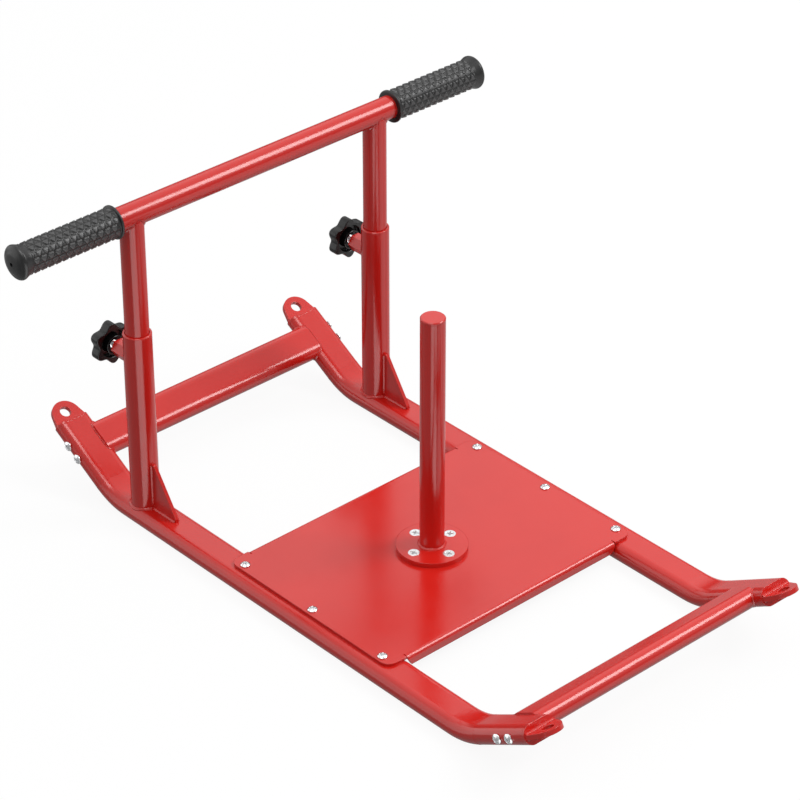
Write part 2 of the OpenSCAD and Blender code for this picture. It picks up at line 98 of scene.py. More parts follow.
# Screws. A cross recess is measured in head diameters, a pan head's rim in head heights, and a
# thread's depth in pitches. A spin is the turn of a group's first screw, and how much further each
# next one is turned, in radians
RECESS_DEPTH = 0.20
RECESS_REACH = 0.31
RECESS_HALF_W = 0.055
RECESS_WALL = 0.012
RECESS_END_SLOPE = 1.6
PAN_RIM = 1 / 3
PAN_DOME = 2.4
HEAD_STEPS = 26
SCREW_POINTS = 72
SCREW_TURN_STEPS = 6
THREAD_DEPTH = 0.55
THREAD_SLOPE = 2.4
BORE_GAP = 0.05 * MM
DECK_SCREW_D = 5 * MM
DECK_SCREW_PITCH = 0.8 * MM
DECK_SCREW_SPIN = (0.6, 1.9)
BOLT_D = 6 * MM
BOLT_PITCH = 1.0 * MM
BOLT_SPIN = (0.35, 1.3)
POST_SCREW_D = 6 * MM
POST_SCREW_SINK = 3 * MM
POST_SCREW_SPIN = (0.3, 1.7)
NUT_FACE = 0.95
NUT_SLOPE = math.tan(math.radians(30))
NUT_BORE_EDGE = 0.5 * MM
STUD_R = 5 * MM
STUD_PITCH = 1.5 * MM
STUD_POINTS = 48
STUD_TURN_STEPS = 12
STUD_TIP_H = 1.2 * MM

# Knobs
KNOB_LOBES = 6
KNOB_LOBE_DEPTH = 5 * MM
KNOB_TURN = math.radians(30)
KNOB_POINTS = 192
KNOB_HUB_R = 10.5 * MM
KNOB_HUB_OUT = 3.5 * MM
KNOB_RECESS_R = 15.2 * MM
KNOB_RECESS_DEPTH = 6 * MM
KNOB_INNER_ROUND = 1.2 * MM
KNOB_OUTER_ROUND = 2.4 * MM
KNOB_CAP_R = 8.5 * MM
ROUND_STEPS = 6

# Grips. The collar's points are a distance from the inner end and a radius. Those of the flared end
# are a distance from the outer end, and then a step below the middle's radius (neck) or the flare's
# radius (flare), or a radius (hole). All are in mm
GRIP_R = 16.6 * MM
GRIP_COLLAR = ((0, 15.2), (0.3, 16.9), (0.9, 17.6), (1.8, 17.7), (2.5, 17.4), (3.0, 16.4), (3.4, 15.6),
               (4.4, 15.3))
GRIP_NECK = ((15.5, 0.9), (14, 0.6), (12.5, 0.2))
GRIP_FLARE = ((9.5, 0.75), (7.5, 0.05), (6.1, 0.15), (4.5, 1.1), (3.2, 2.9), (2.2, 5.4), (1.0, 8.6))
GRIP_HOLE = ((0.3, 5), (0.1, 2.4), (0.6, 2), (5.5, 2))
GRIP_CURVE_STEPS = 4

# The grips' woven pattern. A pad's size, place and wall are in pitches, and its heights in depths
WEAVE_ROWS = 14
WEAVE_ROW_H = 0.866
WEAVE_PITCH = 8.49 * MM
WEAVE_FIRST = 6.4 * MM
WEAVE_DEPTH = 1.25 * MM
WEAVE_FADE = 1.0 * MM
WEAVE_STEPS_AROUND = 16
WEAVE_STEPS_ALONG = 18.4
PAD_HALF = 0.285
PAD_HEIGHT = 0.74
PAD_FALL = 0.55
PAD_TIP = 0.66
PAD_WALL = (-0.02, 0.045)
SMALL_PAD_HALF = 0.15
SMALL_PAD_HEIGHT = 0.42
SMALL_PAD_AT = 0.577

# Weld beads: the legs of each kind, and the form in legs
GUSSET_FOOT_LEG = 1.8 * MM
GUSSET_BACK_LEG = 1.6 * MM
UPRIGHT_LEG = 2.0 * MM
BOSS_LEG = 1.7 * MM
HANDLE_LEG = 2.0 * MM
LUG_LEG = 1.7 * MM
CROSS_TUBE_LEG = 1.6 * MM
BEAD_PITCH = 2.6 * MM
BEAD_STEP = 0.5 * MM
BEAD_END = 1 * MM
BEAD_ARC_STEPS = 6
BEAD_ROOT = 0.3
BEAD_LEAST = 0.96
BEAD_RIPPLE = 0.10
BEAD_BULGE = 0.78
FOOT_BEAD_SHORT = 1.5 * MM
BACK_BEAD_RISE = 3 * MM
HANDLE_BEAD_LEAST = 0.15
HANDLE_BEAD_LIFT = 0.05
HANDLE_BEAD_DOWN = (0.2, 0.98)
COPE_LOWEST, COPE_HIGHEST = -0.99, 0.985
OVAL_CORNER = 0.45

# Studio. A direction is an angle from the camera's side, counted to the right, and a height over the
# horizon, both in degrees. A low band is the angle at which it starts, and its grey. The back changes
# between two levels of height, and the side patch fades between two levels of height or of nearness
FLOOR_SIZE = 40.0
FLOOR_GREY = 0.92
FLOOR_GLOW = 0.92
FLOOR_DULL_GREY = 0.16
ROOM_GREY = 0.50
BACK_AT = (180, 0)
BACK_GREY = 0.90
BACK_RISE = (0.15, 0.50)
BACK_SHARE = (-0.45, 1.0)
SIDE_AT = (-102, 15)
SIDE_GREY = 1.55
SIDE_BOTTOM = (-0.24, -0.20)
SIDE_TOP = (0.62, 0.68)
SIDE_EDGE = (0.77, 0.82)
LOW_GREY = 0.42
LOW_BANDS = ((-16, 2.6), (36, 0.02), (43, 1.2), (90, 0.7), (180, LOW_GREY))
LIGHT_TARGET = Vector((0, 0, 0.2))
KEY_PLACE = Vector((1.71, -1.24, 2.33))
KEY_SIZE = 1.15
KEY_POWER = 38
UPPER_AT = (-42, 74)
UPPER_DISTANCE = 2.55
UPPER_SIZE = 1.2
UPPER_POWER = 22


def grey(level):
    """A colour socket's value for a grey."""
    return (level, level, level, 1)


class Shader:
    """The node tree of a new material or world, with short ways to add nodes and links."""

    # Sockets of a mix node that carry colours
    COLOUR_A, COLOUR_B, MIXED_COLOUR = 6, 7, 2

    def __init__(self, owner):
        """Empties the tree of the material or world."""
        owner.use_nodes = True
        self.owner = owner
        self.tree = owner.node_tree
        self.tree.nodes.clear()

    def add(self, kind, **values):
        """A new node. A value is an input's name with _ for a space, or one of its own settings."""
        node = self.tree.nodes.new("ShaderNode" + kind)
        for name, value in values.items():
            socket = node.inputs.get(name.replace("_", " "))
            if socket is None:
                setattr(node, name, value)
            else:
                socket.default_value = value
        return node

    def link(self, source, target):
        """A link from an output to an input."""
        self.tree.links.new(source, target)

    def surface(self, shader):
        """Ends the tree with a shader, and gives the finished material or world."""
        kind = "OutputWorld" if isinstance(self.owner, bpy.types.World) else "OutputMaterial"
        self.link(shader, self.add(kind).inputs["Surface"])
        return self.owner

    def calculate(self, operation, a, b):
        """A calculation with two outputs or numbers."""
        node = self.add("Math", operation=operation)
        for socket, value in zip(node.inputs, (a, b)):
            if isinstance(value, float):
                socket.default_value = value
            else:
                self.link(value, socket)
        return node.outputs[0]

    def noise(self, scale, detail, roughness=0.5):
        """Noise in the object's own coordinates. The scale is in waves per metre."""
        coordinates = self.add("TexCoord")
        noise = self.add("TexNoise", Scale=scale, Detail=detail, Roughness=roughness)
        self.link(coordinates.outputs["Object"], noise.inputs["Vector"])
        return noise.outputs["Fac"]

    def ramp(self, fac, low, high, colours):
        """Colours spread between two levels of fac."""
        ramp = self.add("ValToRGB")
        for stop, position, colour in zip(ramp.color_ramp.elements, (low, high), colours):
            stop.position = position
            stop.color = (*colour, 1)
        self.link(fac, ramp.inputs["Fac"])
        return ramp.outputs["Color"]

    def spread(self, fac, low, high, to_low, to_high):
        """A number between to_low and to_high, as fac goes from low to high."""
        spread = self.add("MapRange", From_Min=low, From_Max=high, To_Min=to_low, To_Max=to_high)
        self.link(fac, spread.inputs["Value"])
        return spread.outputs["Result"]

    def uneven(self, scale, detail, lowest, highest):
        """A number that noise varies between two levels."""
        return self.spread(self.noise(scale, detail), NOISE_LOW, NOISE_HIGH, lowest, highest)

    def either(self, factor, a, b):
        """Colour a where the factor is 0, and colour b where it is 1."""
        mix = self.add("Mix", data_type="RGBA")
        self.link(factor, mix.inputs["Factor"])
        self.link(a, mix.inputs[self.COLOUR_A])
        self.link(b, mix.inputs[self.COLOUR_B])
        return mix.outputs[self.MIXED_COLOUR]

    def round_edges(self, radius):
        """The surface's normal, with sharp edges rounded off."""
        return self.add("Bevel", samples=EDGE_SAMPLES, Radius=radius).outputs["Normal"]

    def bump(self, height, depth, after=None):
        """Bumps of a real depth in metres, on top of another normal."""
        bump = self.add("Bump", Distance=depth)
        self.link(height, bump.inputs["Height"])
        if after is not None:
            self.link(after, bump.inputs["Normal"])
        return bump.outputs["Normal"]

    def principled(self, colour, roughness, normal, **values):
        """The finished material, with one principled shader."""
        shader = self.add("BsdfPrincipled", **values)
        self.link(colour, shader.inputs["Base Color"])
        self.link(roughness, shader.inputs["Roughness"])
        self.link(normal, shader.inputs["Normal"])
        return self.surface(shader.outputs["BSDF"])

    def nearness(self, towards, direction):
        """How near a view's direction is to another: 1 in line with it, -1 straight away from it."""
        product = self.add("VectorMath", operation="DOT_PRODUCT")
        self.link(towards, product.inputs[0])
        product.inputs[1].default_value = direction
        return product.outputs["Value"]


def powder_coat(name, edge_r):
    """Red powder coat: slightly uneven colour, and a fine orange peel in the gloss. It rounds sharp
    edges off, unless its edge radius is 0."""
    s = Shader(bpy.data.materials.new(name))
    colour = s.ramp(s.noise(scale=9, detail=4), low=0.35, high=0.65, colours=COAT_COLOURS)
    roughness = s.uneven(scale=60, detail=5, lowest=0.17, highest=0.22)
    edges = s.round_edges(edge_r) if edge_r else None
    peel = s.bump(s.noise(scale=120, detail=2, roughness=0.4), depth=0.0016 * MM, after=edges)
    return s.principled(colour, roughness, peel, IOR=1.55)


def zinc_plate():
    """Bright zinc plating, a little cloudy."""
    s = Shader(bpy.data.materials.new("bright_zinc"))
    colour = s.ramp(s.noise(scale=320, detail=4), low=NOISE_LOW, high=NOISE_HIGH, colours=ZINC_COLOURS)
    roughness = s.uneven(scale=900, detail=4, lowest=0.14, highest=0.30)
    edges = s.round_edges(ZINC_EDGE_R)
    scratches = s.bump(s.noise(scale=5200, detail=3), depth=0.003 * MM, after=edges)
    return s.principled(colour, roughness, scratches, Metallic=1.0)


def grip_rubber():
    """Black moulded rubber with a fine grain. Its woven part, whose relief is above 0, has painted
    light:
    painted shade in the grooves and a painted highlight on top of the pads."""
    s = Shader(bpy.data.materials.new("black_rubber"))
    plain = s.ramp(s.noise(scale=240, detail=5), low=0.35, high=0.7, colours=RUBBER_COLOURS)
    relief = s.add("Attribute", attribute_name=RELIEF).outputs["Fac"]
    # Painted light: the woven part is darkened in its grooves and lightened on its pads' tops as the
    # relief rises, a little unevenly
    pad_light_level = s.calculate("ADD", relief, s.uneven(scale=500, detail=3, lowest=-0.08, highest=0.08))
    painted_pad_light = s.ramp(pad_light_level, low=0.1, high=1.0, colours=PAD_SHADE_AND_HIGHLIGHT_COLOURS)
    colour = s.either(s.calculate("GREATER_THAN", relief, RELIEF_GROUND / 10), plain, painted_pad_light)
    roughness = s.uneven(scale=700, detail=4, lowest=0.30, highest=0.42)
    grain = s.bump(s.noise(scale=3000, detail=4, roughness=0.6), depth=0.01 * MM)
    return s.principled(colour, roughness, grain, IOR=1.5)


def knob_plastic():
    """Black moulded plastic with a fine satin grain."""
    s = Shader(bpy.data.materials.new("black_plastic"))
    colour = s.ramp(s.noise(scale=180, detail=4), low=0.35, high=0.65, colours=PLASTIC_COLOURS)
    roughness = s.uneven(scale=500, detail=4, lowest=0.24, highest=0.34)
    grain = s.bump(s.noise(scale=2600, detail=3), depth=0.008 * MM)
    return s.principled(colour, roughness, grain, IOR=1.42)


FINISHES = {
    "powder_coat": powder_coat("red_powder_coat", COAT_EDGE_R),
    "zinc_plate": zinc_plate(),
    "grip_rubber": grip_rubber(),
    "knob_plastic": knob_plastic(),
}


def dress_cad_nodes():
    """Gives each CAD node its finish. On the tubes the coat leaves the edges as they are."""
    on_tubes = powder_coat("red_powder_coat_on_tubes", edge_r=0)
    for name, node in NODES.items():
        node.data.materials.clear()
        node.data.materials.append(on_tubes if name.endswith(TUBES) else FINISHES[SLOT_OF[name]])


# Places and sizes of CAD nodes

def islands(node):
    """The lowest and highest corner of each separate solid of a CAD node."""
    mesh = bmesh.new()
    mesh.from_mesh(NODES[node].data)
    bmesh.ops.remove_doubles(mesh, verts=mesh.verts, dist=1e-6)
    left = set(mesh.verts)
    boxes = []
    while left:
        reached = [left.pop()]
        for vert in reached:
            near = {edge.other_vert(vert) for edge in vert.link_edges} & left
            left -= near
            reached.extend(near)
        spread = [[vert.co[axis] for vert in reached] for axis in range(3)]
        boxes.append((Vector(map(min, spread)), Vector(map(max, spread))))
    mesh.free()
    return sorted(boxes, key=lambda box: tuple(box[0]))


def centre_of(box, **levels):
    """The centre of a box, moved to a given x, y or z."""
    centre = (box[0] + box[1]) / 2
    for axis, level in levels.items():
        setattr(centre, axis, level)
    return centre


def reach_along(node, direction):
    """The lowest and highest level of a CAD node along a direction."""
    levels = [vertex.co.dot(direction) for vertex in NODES[node].data.vertices]
    return min(levels), max(levels)


def rise_directions(end):
    """The directions along a rising part of the skid tubes, and square to it."""
    fore = ENDS[end]
    return (Vector((0, fore * math.cos(RISE_ANGLE), math.sin(RISE_ANGLE))),
            Vector((0, -fore * math.sin(RISE_ANGLE), math.cos(RISE_ANGLE))))


# Meshes and pieces

def turned_to(place, axis, spin=0.0):
    """A matrix that puts a piece's origin at place, with its own Z along axis."""
    turn = axis.to_track_quat("Z", "Y").to_matrix().to_4x4()
    return Matrix.Translation(place) @ turn @ Matrix.Rotation(spin, 4, "Z")


def ring_mesh(name, rings, closed=False, sharp=38):
    """A mesh through rings of points, all of the same count. Open ends are closed with a face."""
    mesh = bmesh.new()
    rows = [[mesh.verts.new(point) for point in ring] for ring in rings]
    count = len(rows[0])
    pairs = list(zip(rows, rows[1:])) + ([(rows[-1], rows[0])] if closed else [])
    for low, high in pairs:
        for i in range(count):
            j = (i + 1) % count
            mesh.faces.new((low[i], low[j], high[j], high[i]))
    if not closed:
        mesh.faces.new(reversed(rows[0]))
        mesh.faces.new(rows[-1])
    bmesh.ops.recalc_face_normals(mesh, faces=mesh.faces)
    data = bpy.data.meshes.new(name)
    mesh.to_mesh(data)
    mesh.free()
    data.shade_smooth()
    data.set_sharp_from_angle(angle=math.radians(sharp))
    return data


def add_piece(name, data, finish, body, place=Matrix.Identity(4), stands_for=()):
    """Shows a mesh as a piece that rides on a CAD body, with one of the record's finishes."""
    if not data.materials:
        data.materials.append(FINISHES[finish])
    piece = bpy.data.objects.new(name, data)
    piece.matrix_world = place
    bpy.context.scene.collection.objects.link(piece)
    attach(piece, body)
    if stands_for:
        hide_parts(*stands_for)


def circle(radius, height, count):
    """A ring of points around Z."""
    return [Vector((radius * math.cos(a), radius * math.sin(a), height))
            for a in (2 * math.pi * i / count for i in range(count))]


def smooth_curve(points, steps):
    """A curve through the points, with a few steps between each two."""
    curve = []
    for i in range(len(points) - 1):
        a, b = Vector(points[i]), Vector(points[i + 1])
        before = Vector(points[i - 1]) if i > 0 else a
        after = Vector(points[i + 2]) if i + 2 < len(points) else b
        for k in range(steps):
            t = k / steps
            curve.append(0.5 * (2 * a + (b - before) * t + (2 * before - 5 * a + 4 * b - after) * t ** 2
                                + (3 * a - before - 3 * b + after) * t ** 3))
    return curve + [Vector(points[-1])]


def soft_step(value, low, high):
    """A step from 0 at low to 1 at high, with soft ends."""
    t = min(max((value - low) / (high - low), 0.0), 1.0)
    return t * t * (3 - 2 * t)


# Screws, nuts and studs

def recess_depth(x, y, head_d):
    """Depth of a cross recess at a point of a screw's head."""
    reach, half_w, wall = RECESS_REACH * head_d, RECESS_HALF_W * head_d, RECESS_WALL * head_d
    deepest = 0.0
    for along, across in ((abs(x), abs(y)), (abs(y), abs(x))):
        inside = soft_step(half_w - across, -wall, wall)
        slope = min(max((reach - along) / (reach - half_w), 0.0), 1.0)
        deepest = max(deepest, RECESS_DEPTH * head_d * inside * min(1.0, RECESS_END_SLOPE * slope))
    return deepest


def thread_rings(radius, pitch, start, length, count, steps):
    """Rings of a threaded shank, from start downwards, with a number of steps a turn."""
    depth = THREAD_DEPTH * pitch
    rings = []
    for k in range(int(length / pitch * steps) + 1):
        height = start - k * pitch / steps
        fade = soft_step(length - (start - height), 0.0, pitch)
        ring = circle(1.0, height, count)
        for i, point in enumerate(ring):
            phase = (height / pitch - i / count) % 1.0
            groove = min(1.0, THREAD_SLOPE * abs(phase - 0.5))
            r = radius - depth * (1 - groove) - 0.5 * depth * (1 - fade)
            point.x *= r
            point.y *= r
        rings.append(ring)
    return rings


def screw_mesh(name, profile, shank_d, pitch, length):
    """A cross-recessed screw. Its head's profile runs from the centre over the top to the shank."""
    head_d = 2 * max(radius for radius, _ in profile)
    rings = []
    for radius, height in profile:
        ring = circle(radius, height, SCREW_POINTS)
        for point in ring:
            point.z -= recess_depth(point.x, point.y, head_d)
        rings.append(ring)
    rings += thread_rings(shank_d / 2, pitch, profile[-1][1], length, SCREW_POINTS, SCREW_TURN_STEPS)
    return ring_mesh(name, rings)


def pan_profile(head_d, head_h, shank_d):
    """A pan head: a low dome with a rounded shoulder, flat underneath."""
    r = head_d / 2
    rim = PAN_RIM * head_h
    top = [(r * f, rim + (head_h - rim) * (1 - f ** PAN_DOME))
           for f in (k / HEAD_STEPS for k in range(1, HEAD_STEPS))]
    side = [(r * 0.992, rim + 0.10 * MM), (r, rim - 0.15 * MM), (r, 0.25 * MM), (r - 0.2 * MM, 0.0)]
    return top + side + [(shank_d / 2, 0.0)]


def flush_profile(head_d, sink, shank_d):
    """A countersunk head: flat on top with a thin edge, and a cone underneath."""
    r = head_d / 2
    top = [(r * k / HEAD_STEPS, 0.0) for k in range(1, HEAD_STEPS)]
    return top + [(r - 0.15 * MM, 0.0), (r, -0.15 * MM), (r, -0.45 * MM), (shank_d / 2, -sink)]


def add_group(name, node, data, places):
    """Shows a screw or nut at each place, for a CAD node that is a group of them."""
    for i, place in enumerate(places):
        add_piece(f"{name}_{i + 1}", data, "zinc_plate", "frame", place, (node,))


def spun(spin, i):
    """The turn of screw i in its group."""
    first, further = spin
    return first + further * i


def deck_screws():
    """Pan head screws through the deck into the skid tubes."""
    deck_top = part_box("deck_plate")[1].z
    boxes = islands("deck_screws")
    low, high = boxes[0]
    profile = pan_profile(high.x - low.x, high.z - deck_top, DECK_SCREW_D)
    data = screw_mesh("deck_screw", profile, DECK_SCREW_D, DECK_SCREW_PITCH, deck_top - low.z)
    places = [turned_to(centre_of(box, z=deck_top), Z, spun(DECK_SCREW_SPIN, i))
              for i, box in enumerate(boxes)]
    add_group("deck_screw", "deck_screws", data, places)


def cross_tube_bolts():
    """Pan head bolts through the skid tubes' outer sides into the cross tubes."""
    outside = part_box("right_runner")[1].x
    boxes = islands("cross_tube_bolts")
    low, high = boxes[0]
    head_h = -outside - low.x
    profile = pan_profile(high.z - low.z, head_h, BOLT_D)
    data = screw_mesh("cross_tube_bolt", profile, BOLT_D, BOLT_PITCH, high.x - low.x - head_h)
    places = []
    for i, box in enumerate(boxes):
        side = 1 if box[1].x > outside else -1
        places.append(turned_to(centre_of(box, x=side * outside), side * X, spun(BOLT_SPIN, i)))
    add_group("cross_tube_bolt", "cross_tube_bolts", data, places)


def post_screws():
    """Countersunk screws that hold the post's flange on the deck."""
    boxes = islands("post_screws")
    low, high = boxes[0]
    profile = flush_profile(high.x - low.x, POST_SCREW_SINK, POST_SCREW_D)
    data = screw_mesh("post_screw", profile, POST_SCREW_D, BOLT_PITCH, high.z - low.z - POST_SCREW_SINK)
    places = [turned_to(centre_of(box, z=box[1].z), Z, spun(POST_SCREW_SPIN, i))
              for i, box in enumerate(boxes)]
    add_group("post_screw", "post_screws", data, places)


def nut_ring(radius, flats, height):
    """A ring that follows a hexagon where the circle would reach past its flats."""
    ring = circle(1.0, height, SCREW_POINTS)
    for i, point in enumerate(ring):
        angle = (2 * math.pi * i / SCREW_POINTS) % (math.pi / 3) - math.pi / 6
        r = min(radius, flats / 2 / math.cos(angle))
        point.x *= r
        point.y *= r
    return ring


def post_nuts():
    """Hexagon nuts under the deck, with chamfered corners and bores."""
    boxes = islands("post_nuts")
    low, high = boxes[0]
    flats, height = min(high.x - low.x, high.y - low.y), high.z - low.z
    bore, corner = POST_SCREW_D / 2 + BORE_GAP, flats / 2 / math.cos(math.pi / 6)
    bore_edge, face = bore + NUT_BORE_EDGE, NUT_FACE * flats / 2
    edge = (corner - face) * NUT_SLOPE
    levels = [(bore, edge), (bore_edge, 0.0), (face, 0.0), (corner, edge), (corner, height - edge),
              (face, height), (bore_edge, height), (bore, height - edge)]
    data = ring_mesh("post_nut", [nut_ring(r, flats, z) for r, z in levels], closed=True, sharp=20)
    add_group("post_nut", "post_nuts", data, [turned_to(centre_of(box, z=box[0].z), Z) for box in boxes])


def clamp_stud(side):
    """A threaded stud with a chamfered tip."""
    low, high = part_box(f"{side}_clamp_stud")
    length = high.y - low.y
    rings = thread_rings(STUD_R, STUD_PITCH, 0.0, length - STUD_TIP_H, STUD_POINTS, STUD_TURN_STEPS)
    tip = ((STUD_R - 1.0 * MM, 0.8 * MM - length), (STUD_R - 1.4 * MM, -length))
    rings += [circle(radius, height, STUD_POINTS) for radius, height in tip]
    place = centre_of((low, high), y=high.y)
    add_piece(f"{side}_stud_thread", ring_mesh(f"{side}_stud_thread", rings), "zinc_plate",
              f"{side}_clamp_screw", turned_to(place, Y), (f"{side}_clamp_stud",))


# Knobs

def knob_ring(circle_r, lobed, inset, height, radius):
    """A ring of the knob, between a circle (lobed = 0) and the inset lobed outline (lobed = 1)."""
    ring = circle(1.0, height, KNOB_POINTS)
    for i, point in enumerate(ring):
        angle = 2 * math.pi * i / KNOB_POINTS
        valley = (1 - math.cos(KNOB_LOBES * (angle - KNOB_TURN))) / 2
        edge = radius - KNOB_LOBE_DEPTH * valley - inset
        r = circle_r + (edge - circle_r) * lobed
        point.x *= r
        point.y *= r
    return ring


def clamp_knob(side):
    """A star knob: a hub in a round recess, rounded lobes, and a cap in its outer face. Each ring is
    a circle's radius, how far it is lobed, the inset of its lobes, and a height over the hub's end."""
    low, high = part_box(f"{side}_clamp_knob")
    radius, depth = (high.z - low.z) / 2, high.y - low.y
    bore, hub, recess, cap = STUD_R + BORE_GAP, KNOB_HUB_R, KNOB_RECESS_R, KNOB_CAP_R
    face, floor = KNOB_HUB_OUT, KNOB_HUB_OUT + KNOB_RECESS_DEPTH
    rings = [(r, 0, 0, z) for r, z in (
        (bore, 6 * MM), (bore, 2.9 * MM), (bore + 0.4 * MM, 2.5 * MM), (hub - 2 * MM, 2.5 * MM),
        (hub - 1.6 * MM, 2.1 * MM), (hub - 1.6 * MM, 0.3 * MM), (hub - 1.3 * MM, 0),
        (hub - 0.4 * MM, 0), (hub, 0.4 * MM), (hub, floor - 0.6 * MM), (hub + 0.6 * MM, floor),
        (recess - 0.6 * MM, floor), (recess, floor - 0.6 * MM), (recess, face + 0.5 * MM),
        (recess + 0.5 * MM, face))]
    rings += [(recess + 0.5 * MM, lobed, KNOB_INNER_ROUND, face) for lobed in (0.33, 0.66, 0.99)]
    corners = ((KNOB_INNER_ROUND, face + KNOB_INNER_ROUND), (KNOB_OUTER_ROUND, depth - KNOB_OUTER_ROUND))
    for quarter, (corner, middle) in enumerate(corners):
        for k in range(ROUND_STEPS + 1):
            angle = math.pi / 2 * (quarter + k / ROUND_STEPS)
            rings.append((0, 1, corner * (1 - math.sin(angle)), middle - corner * math.cos(angle)))
    rings += [(cap + 0.4 * MM, lobed, KNOB_OUTER_ROUND, depth) for lobed in (0.9, 0.6, 0.3, 0)]
    rings += [(cap + 0.2 * MM, 0, 0, depth - 0.5 * MM)]
    rings += [(cap * share, 0, 0, depth - 0.1 * MM * share) for share in (1, 0.9, 0.6, 0.3, 0.1)]
    data = ring_mesh(f"{side}_star_knob", [knob_ring(*ring, radius) for ring in rings])
    place = centre_of((low, high), y=low.y)
    add_piece(f"{side}_star_knob", data, "knob_plastic", f"{side}_clamp_head",
              Matrix.Translation(place) @ Matrix.Rotation(-math.pi / 2, 4, "X"), (f"{side}_clamp_knob",))


# Grips

def triangle_pad(along, around, points_to, half):
    """Height of a triangular pad at an offset from its centre, in pitches. Its tips are round."""
    out = max(around * points_to, WEAVE_ROW_H * abs(along) - 0.5 * around * points_to,
              PAD_TIP * math.hypot(along, around))
    return soft_step(half - out, *PAD_WALL)


def weave(along, around):
    """Height of the grip's woven pattern, at a place in pitches along it and in rows around it:
    triangles whose tips lie over the next row, and small ones between them."""
    height = 0.0
    row = math.floor(around)
    for j in (row - 1, row, row + 1, row + 2):
        shift = 0.5 * (j % 2)
        i = round(along - shift)
        for k in (i - 1, i, i + 1):
            du, dv = along - shift - k, WEAVE_ROW_H * (around - j)
            height = max(height, (PAD_HEIGHT - PAD_FALL * dv) * triangle_pad(du, dv, 1, PAD_HALF),
                         SMALL_PAD_HEIGHT * triangle_pad(du, dv - SMALL_PAD_AT, -1, SMALL_PAD_HALF))
    return height


def grip_outline(length, flare):
    """Points of the grip's outline, from its inner end to its outer one, and its woven stretch."""
    woven = (GRIP_COLLAR[-1][0] * MM, length - GRIP_NECK[0][0] * MM)
    outline = smooth_curve([(m * MM, r * MM) for m, r in GRIP_COLLAR], GRIP_CURVE_STEPS)
    steps = int((woven[1] - woven[0]) / WEAVE_PITCH * WEAVE_STEPS_ALONG)
    outline += [Vector((woven[0] + (woven[1] - woven[0]) * k / steps, GRIP_R - WEAVE_DEPTH))
                for k in range(1, steps)]
    end = [(m, GRIP_R - step * MM) for m, step in GRIP_NECK]
    end += [(m, flare - step * MM) for m, step in GRIP_FLARE]
    end += [(m, r * MM) for m, r in GRIP_HOLE]
    outline += smooth_curve([(length - m * MM, r) for m, r in end], GRIP_CURVE_STEPS)
    return outline, woven


def grip(side):
    """A rubber grip: a collar, a woven middle, and a flared end with a small hole."""
    low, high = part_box(f"{side}_grip")
    outline, woven = grip_outline(high.x - low.x, (high.z - low.z) / 2)
    count = WEAVE_ROWS * WEAVE_STEPS_AROUND
    rings, reliefs = [circle(BAR_R, 0.0, count)], [0.0] * count
    for s, r in outline:
        ring = circle(r, s, count)
        fade = soft_step(min(s - woven[0], woven[1] - s), 0, WEAVE_FADE)
        for i, point in enumerate(ring):
            place = ((s - WEAVE_FIRST) / WEAVE_PITCH, WEAVE_ROWS * i / count)
            height = fade * weave(*place) if fade else 0.0
            point.x *= 1 + WEAVE_DEPTH * height / r
            point.y *= 1 + WEAVE_DEPTH * height / r
            reliefs.append(max(height, RELIEF_GROUND) if fade else 0.0)
        rings.append(ring)
    data = ring_mesh(f"{side}_rubber_grip", rings, sharp=60)
    data.attributes.new(RELIEF, "FLOAT", "POINT").data.foreach_set("value", reliefs)
    # The rings' first points are on top, and the outline runs outwards
    out = SIDES[side]
    origin = centre_of((low, high), x=low.x if out > 0 else high.x)
    place = Matrix(((0, 0, out, origin.x), (0, -out, 0, origin.y), (1, 0, 0, origin.z), (0, 0, 0, 1)))
    add_piece(f"{side}_rubber_grip", data, "grip_rubber", "handle", place, (f"{side}_grip",))


# Weld beads

def bead(name, path, legs, size, body, closed=False, stands_for=()):
    """Shows a rippled bead along a path in the corner between two surfaces. Each of the legs is a
    pair of unit vectors along them."""
    run = 0.0
    rings = []
    for i, (root, (a, b)) in enumerate(zip(path, legs)):
        if i:
            run += (root - path[i - 1]).length
        ripple = (run / BEAD_PITCH) % 1.0
        leg = size * (BEAD_LEAST + BEAD_RIPPLE * ripple * (2 - ripple))
        ring = [root - BEAD_ROOT * size * (a + b)]
        for k in range(BEAD_ARC_STEPS + 1):
            angle = math.pi / 2 * k / BEAD_ARC_STEPS
            bulge = BEAD_BULGE + (1 - BEAD_BULGE) * abs(math.cos(2 * angle))
            ring.append(root + leg * bulge * (math.cos(angle) * a + math.sin(angle) * b))
        rings.append(ring)
    data = ring_mesh(name, rings, closed, sharp=60)
    add_piece(name, data, "powder_coat", body, stands_for=stands_for)


def straight(start, end):
    """Points along a straight bead."""
    count = max(2, round((end - start).length / BEAD_STEP))
    return [start.lerp(end, k / count) for k in range(count + 1)]


def laid_on(direction, normal):
    """A direction laid flat on a surface with a normal."""
    return (direction - direction.dot(normal) * normal).normalized()


def post_bead():
    """A bead around the post's foot, in the place of the CAD's plain ring."""
    low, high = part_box("post_weld_bead")
    centre = centre_of((low, high), z=low.z)
    path = [centre + point for point in circle(POST_R, 0.0, count=160)]
    legs = [((point - centre).normalized(), Z) for point in path]
    bead("post_bead", path, legs, high.z - low.z, "frame", closed=True, stands_for=("post_weld_bead",))


